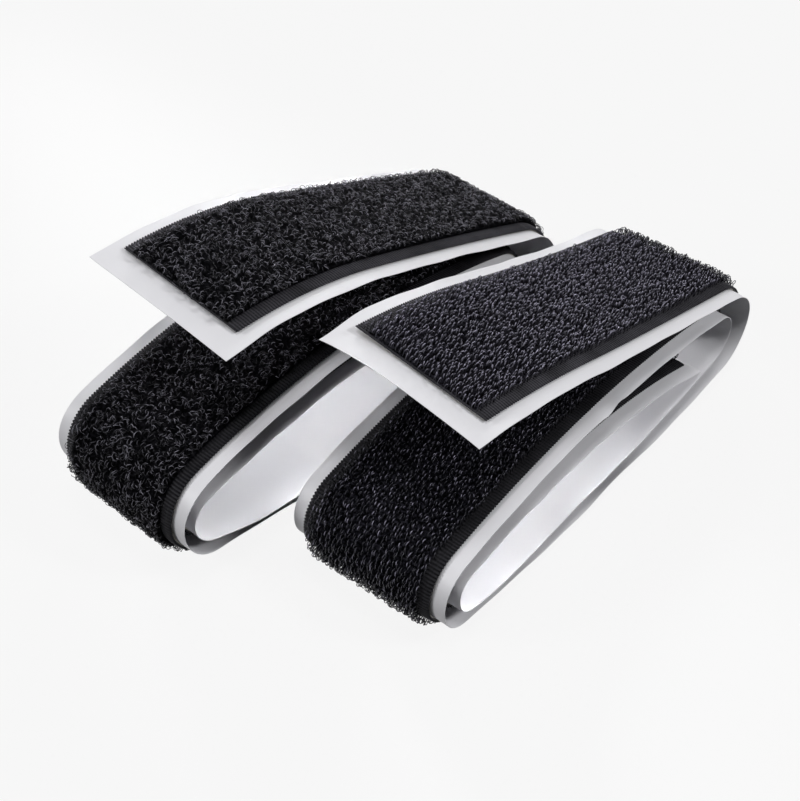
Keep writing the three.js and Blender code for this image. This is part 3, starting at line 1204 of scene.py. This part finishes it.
@dataclass
class HookPile:
    """Monofilament hooks in rows: each rises from the ground, curls over and stops short of coming back."""

    stock: TapeStock
    mat: PileMat
    finish: StrandFinish = HOOK_FINISH
    pitch_along: float = 0.58 * MM
    pitch_across: float = 0.52 * MM
    row_stagger: float = 0.25
    column_stagger: float = 0.2
    radius: float = 0.064 * MM
    root: float = 0.1 * MM
    stem: Span = (0.52 * MM, 1.06 * MM)
    curl: Span = (0.25 * MM, 0.36 * MM)
    curl_height: float = 1.1
    sweep: Span = (200.0, 285.0)
    jitter: float = 0.04 * MM
    turn: float = 0.22
    lean: float = 0.1
    splay: float = 0.12
    overhang: float = 0.45 * MM
    stem_steps: int = 2
    curl_steps: int = 7
    shade: float = 0.3
    lit: Span = (0.35, 1.0)
    # Painted light and shade: the free end's hooks are lighter and the roll's darker.
    lifted_painted_light: float = 0.4
    wound_painted_shade: float = 2.4
    hidden_spacing: float = 1.9
    floor_spacing: float = 1.8
    end_overhang: float = -0.1 * MM
    seed: int = 23

    def strands(self, route: Route, zone: PileZone, salt: int) -> Surface:
        """Stands hooks over a zone of the ground, in rows whose hooks face to and fro by turns.

        A hook's stem rises straight from its root, and its curl is an arc of an ellipse about a point level
        with the stem's top: the run is the curl's radius times one less the cosine of the angle turned, and
        the rise its height times the radius times the sine. The whole hook leans with its rise and splays
        with its run. Its tone rises with that sine, from a painted shade on the stem to a painted highlight
        at the crown.

        Args:
            route: The strip's route.
            zone: The zone.
            salt: A number that makes this zone's draws its own.

        Returns:
            The hooks.
        """
        draw = np.random.default_rng(self.seed + salt)
        half = self.stock.pile_width / 2 + self.overhang
        pitch = self.pitch_along * zone.spacing
        rows = np.arange(math.ceil(zone.start / pitch), math.ceil(zone.end / pitch))
        columns = np.arange(round(2 * half / (self.pitch_across * zone.spacing)) + 1)
        row, column = (grid.ravel() for grid in np.meshgrid(rows, columns, indexing="ij"))
        count = len(row)
        along = (row + self.row_stagger * (column % 2)) * pitch + draw.normal(0, self.jitter, count)
        share = (column + self.column_stagger * (row % 2)) / (len(columns) - 1 + self.column_stagger)
        across = half * (2 * share - 1) + draw.normal(0, self.jitter, count)
        facing = math.pi * (column % 2) + draw.normal(0, self.turn, count)
        radius = draw.uniform(*self.curl, count)[:, None]
        sweep = np.radians(draw.uniform(*self.sweep, count))[:, None]
        stem = draw.uniform(*self.stem, count)[:, None]
        lean = draw.normal(0, self.lean, (count, 2))
        climb = np.linspace(0, 1, self.stem_steps, endpoint=False)[None, :]
        angle = sweep * np.linspace(0, 1, self.curl_steps)[None, :]
        on_stem = np.zeros((count, self.stem_steps))
        run = np.concatenate([on_stem, radius * (1 - np.cos(angle))], axis=1)
        rise = np.concatenate([stem * climb, stem + self.curl_height * radius * np.sin(angle)], axis=1)
        out = lean[:, 1:] * rise + self.splay * run
        run = run + lean[:, :1] * rise
        cos, sin = np.cos(facing)[:, None], np.sin(facing)[:, None]
        path = np.stack([
            along[:, None] + run * cos - out * sin,
            across[:, None] + run * sin + out * cos,
            self.stock.pile_base - self.root + rise,
        ], axis=-1)
        side = np.stack([-sin[:, 0], cos[:, 0], np.zeros(count)], axis=-1)
        # Painted highlight: each hook's crown is lightest, where the lamps would glint; the stem keeps a
        # painted shade.
        crown = np.concatenate([on_stem, smooth_step(np.sin(angle), *self.lit)], axis=1)
        own_tone = draw.uniform(zone.dullest, 1, count)[:, None]
        tone_and_glint = (own_tone * (self.shade + (1 - self.shade) * crown)) ** zone.rarity
        return strand_tubes(route, path, side, self.radius, tone_and_glint)


@dataclass
class Strip:
    """One strip: its liner, bond layers, woven ground and pile, wound and lifted."""

    kind: PileKind
    winding: Winding
    stock: TapeStock
    pile: LoopPile | HookPile
    liner: ReleaseLiner
    adhesive_inset: float = 0.35 * MM
    mat_inset: float = 0.1 * MM
    inner_end_shown: float = 8 * MM
    floor_end_shown: float = 5 * MM
    bend_length: float = 14 * MM
    lifted_salt: int = 10

    def __post_init__(self) -> None:
        """Lays the strip's route where its liner is in the frame."""
        liner_node = self.node("release_liner", Stretch.WOUND)
        self.route = Route(self.winding, liner_node, self.stock.liner_width / 2)

    def node(self, layer: str, stretch: Stretch) -> str:
        """Gives the CAD node of a layer."""
        ending = "" if stretch is Stretch.WOUND else "_free_end"
        return f"{self.kind.value}_{layer}{ending}"

    def carry(self, piece: bpy.types.Object, layer: str, stretch: Stretch) -> None:
        """Puts a piece in place of its layer's node: hides the node, and parents the piece to the roll's
        body or, on the free end, bakes its place into its points.

        Args:
            piece: The piece.
            layer: The layer's word in its node's name.
            stretch: The wound or the lifted length.
        """
        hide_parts(self.node(layer, stretch))
        roll, free_end = f"{self.kind.value}_roll", f"{self.kind.value}_free_end"
        if stretch is Stretch.WOUND:
            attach(piece, roll)
            return
        marks = np.array([self.route.flex, self.route.flex + self.bend_length])
        start, end = self.route.point(marks, 0.0, self.winding.stack)
        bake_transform(piece)

    def pile_zones(self, stretch: Stretch) -> list[PileZone]:
        """Gives the zones that the filaments are made in.

        Filaments stand further apart on the inner turns, which the outer ones hide, and where the strip lies
        on them. Their tone is painted darker on the roll, a painted shade, than on the free end, a painted
        sheen.

        Args:
            stretch: The wound or the lifted length.

        Returns:
            The zones from the inner end outwards.
        """
        pile = self.pile
        start, end = self.route.span(stretch, self.stock.liner_inner_tail, self.stock.liner_free_tail)
        # Painted light: the free end's filaments are lighter and the roll's darker, as if lit and shaded.
        if stretch is Stretch.LIFTED:
            end += pile.end_overhang
            marks = [start, (start + end) / 2, end]
            return [PileZone(*ends, dullest=pile.lifted_painted_light) for ends in zip(marks, marks[1:])]
        start -= pile.end_overhang
        inner_end = start + self.inner_end_shown
        top, front, floor, back = (float(mark) for mark in self.route.starts[self.route.outer_turn])
        floor_start, floor_end = floor + self.floor_end_shown, back - self.floor_end_shown
        marks = [start, inner_end, top, (top + front) / 2, front, floor_start, floor_end, end]
        close = PileZone.spacing
        spacings = [close, pile.hidden_spacing, close, close, close, pile.floor_spacing, close]
        return [PileZone(*zone, rarity=pile.wound_painted_shade) for zone in zip(marks, marks[1:], spacings)]

    def dress_pile(self, stretch: Stretch) -> None:
        """Stands the pile on one stretch: its mat, and filaments in as many pieces as keep each light.

        Args:
            stretch: The wound or the lifted length.
        """
        pile, stock, kind = self.pile, self.stock, self.kind.value
        tails = stock.liner_inner_tail + self.mat_inset, stock.liner_free_tail + self.mat_inset
        mat = pile.mat.build(self.route, *self.route.span(stretch, *tails))
        pieces = [mat.piece(f"{kind}_mat_{stretch.value}", pile.mat.finish.material(), NO_CREASE)]
        for part, zone in enumerate(self.pile_zones(stretch), start=1):
            salt = part if stretch is Stretch.WOUND else self.lifted_salt + part
            strands = pile.strands(self.route, zone, salt)
            name = f"{kind}_pile_{stretch.value}_{part}"
            pieces.append(strands.piece(name, pile.finish.material(), NO_CREASE))
        for made in pieces:
            self.carry(made, "pile", stretch)

    def dress(self) -> None:
        """Makes every piece of the strip."""
        stock = self.stock
        common = {"kind": self.kind, "stock": stock}
        layers: dict[str, Layer] = {
            "release_liner": self.liner,
            "adhesive": BondLayer(
                **common, word="adhesive", finish=ADHESIVE_FINISH, base=stock.adhesive_base,
                thickness=stock.adhesive, inset=self.adhesive_inset,
            ),
            "back_coat": BondLayer(
                **common, word="coat", finish=COAT_FINISH, base=stock.coat_base, thickness=stock.coat,
            ),
            "woven_tape": WovenTape(**common),
        }
        for stretch in Stretch:
            for layer, maker in layers.items():
                self.carry(maker.dress(self.route, stretch), layer, stretch)
            self.dress_pile(stretch)


@dataclass
class SoftBox:
    """A square lamp that points at the pair, or at a place of its own."""

    name: str
    place: tuple[float, float, float]
    size: float
    watts: float
    target: tuple[float, float, float] | None = None
    spread: float = 180.0
    glints: bool = True

    def build(self, aim: Vector) -> None:
        """Hangs the lamp and turns it to the aim, or to its own target.

        Args:
            aim: The place that the camera looks at.
        """
        data = bpy.data.lights.new(self.name, "AREA")
        data.shape = "SQUARE"
        data.size = self.size
        data.energy = self.watts
        data.spread = math.radians(self.spread)
        lamp = bpy.data.objects.new(self.name, data)
        lamp.visible_glossy = self.glints
        bpy.context.scene.collection.objects.link(lamp)
        lamp.location = Vector(self.place)
        towards = Vector(self.target) if self.target else aim
        lamp.rotation_euler = (towards - lamp.location).to_track_quat("-Z", "Y").to_euler()


@dataclass
class Studio:
    """The camera, the lamps, the pale floor and the backdrop."""

    azimuth: float = 39.0
    elevation: float = 43.5
    distance: float = 227.5 * MM
    near_clip: float = 10 * MM
    aim: tuple[float, float, float] = (-5.8 * MM, 3.44 * MM, 0.0)
    focal_pixels: float = 1600.0
    image_height: float = 801.0
    sensor: float = 36.0
    floor_size: float = 4.0
    backdrop: float = 0.945
    shadow_share: float = 0.06
    ambient: float = 0.02
    bounce: float = 0.1
    table: float = 0.8
    boxes: tuple[SoftBox, ...] = (
        SoftBox("key_box", (0.45, 0.17, 0.42), 0.12, 1.9),
        SoftBox("front_box", (-0.38, -0.52, 0.42), 0.16, 2.35),
        SoftBox("back_box", (-0.34, 0.58, 0.32), 0.14, 0.9),
        SoftBox("overhead_box", (0.08, -0.08, 0.70), 0.2, 1.5),
        SoftBox(
            "left_low_box", (-0.22, 0.06, 0.045), 0.03, 0.04,
            target=(-0.006, -0.004, 0.007), spread=24.0, glints=False,
        ),
    )

    def build_camera(self) -> None:
        """Stands the camera on its bearing from the aim, with the picture's focal length."""
        bearing, rise = math.radians(self.azimuth), math.radians(self.elevation)
        back = Vector((
            math.sin(bearing) * math.cos(rise),
            -math.cos(bearing) * math.cos(rise),
            math.sin(rise),
        ))
        data = bpy.data.cameras.new("camera")
        data.sensor_width = self.sensor
        data.lens = self.sensor * self.focal_pixels / self.image_height
        data.clip_start = self.near_clip
        camera = bpy.data.objects.new("camera", data)
        bpy.context.scene.collection.objects.link(camera)
        camera.location = Vector(self.aim) + back * self.distance
        camera.rotation_euler = (-back).to_track_quat("-Z", "Y").to_euler()
        bpy.context.scene.camera = camera

    def seen_directly(self, bench: Bench) -> bpy.types.NodeSocket:
        """Tells rays from the camera, mirrors and glass from the rest.

        Args:
            bench: The bench of the material or world.

        Returns:
            A socket that is 1 on those rays and 0 on the rest.
        """
        path = bench.add("ShaderNodeLightPath")
        shiny = bench.math("MAXIMUM", path.outputs["Is Glossy Ray"], path.outputs["Is Transmission Ray"])
        return bench.math("MAXIMUM", path.outputs["Is Camera Ray"], shiny)

    def build_floor(self) -> None:
        """Lays the pale floor: plain to the eye, with a share of its real shade so that shadows stay."""
        material = bpy.data.materials.new("pale_floor")
        bench = cleared_bench(material)
        seen = self.seen_directly(bench)
        shade = bench.blend(seen, (self.bounce,) * 3, (self.table,) * 3)
        matt = bench.add("ShaderNodeBsdfDiffuse", {"Color": shade})
        glow = bench.add("ShaderNodeEmission", {"Color": (self.backdrop,) * 3 + (1,), "Strength": 1.0})
        share = bench.math("MULTIPLY", seen, 1 - self.shadow_share)
        mixed = bench.add("ShaderNodeMixShader", {0: share, 1: matt.outputs[0], 2: glow.outputs[0]})
        bench.add("ShaderNodeOutputMaterial", {"Surface": mixed.outputs[0]})
        half = self.floor_size / 2
        corners = np.array([(-half, -half, 0), (half, -half, 0), (half, half, 0), (-half, half, 0)], float)
        floor = Surface(corners, np.array([[0, 1, 2, 3]])).piece("floor", material, NO_CREASE)

    def build_backdrop(self) -> None:
        """Sets the surrounding light, and the plain backdrop that the camera sees beyond the floor."""
        world = bpy.data.worlds.new("studio")
        bench = cleared_bench(world)
        strength = bench.spread(self.seen_directly(bench), self.ambient, self.backdrop)
        shade = bench.add("ShaderNodeBackground", {"Color": (1, 1, 1, 1), "Strength": strength})
        bench.add("ShaderNodeOutputWorld", {"Surface": shade.outputs[0]})
        bpy.context.scene.world = world

    def build(self) -> None:
        """Builds the whole studio."""
        self.build_camera()
        self.build_floor()
        self.build_backdrop()
        for box in self.boxes:
            box.build(Vector(self.aim))
        bpy.context.scene.view_settings.view_transform = "Standard"


def write_sizes() -> None:
    """Updates the view layer."""
    bpy.context.view_layer.update()


def loop_strip(stock: TapeStock) -> Strip:
    """Puts together the strip of loops, with its deep mat.

    Args:
        stock: The tape that both strips are cut from.

    Returns:
        The strip, ready to dress.
    """
    mat = PileMat(stock, LOOP_MAT_FINISH, height=(0.55 * MM, 1.0 * MM), overhang=(0.3 * MM, 0.1 * MM))
    liner = ReleaseLiner(
        kind=PileKind.LOOP, stock=stock, curls=LOOP_CURLS, phase=0.7, droop=(0.1 * MM, 0.3 * MM)
    )
    return Strip(PileKind.LOOP, LOOP_WINDING, stock, LoopPile(stock, mat), liner)


def hook_strip(stock: TapeStock) -> Strip:
    """Puts together the strip of hooks, with the shallow mat of their roots.

    Args:
        stock: The tape that both strips are cut from.

    Returns:
        The strip, ready to dress.
    """
    mat = PileMat(stock, HOOK_MAT_FINISH, height=(0.1 * MM, 0.35 * MM), rim=0.3 * MM)
    liner = ReleaseLiner(
        kind=PileKind.HOOK, stock=stock, curls=HOOK_CURLS, phase=2.9, droop=(1.3 * MM, 0.3 * MM)
    )
    return Strip(PileKind.HOOK, HOOK_WINDING, stock, HookPile(stock, mat), liner)


def main() -> None:
    """Builds the studio and the two strips."""
    logging.basicConfig(level=logging.INFO, format="%(message)s")
    mottle_group()
    weave_group()
    Studio().build()
    stock = TapeStock()
    for strip in (loop_strip(stock), hook_strip(stock)):
        strip.dress()
    write_sizes()


if __name__ == "__main__":
    main()
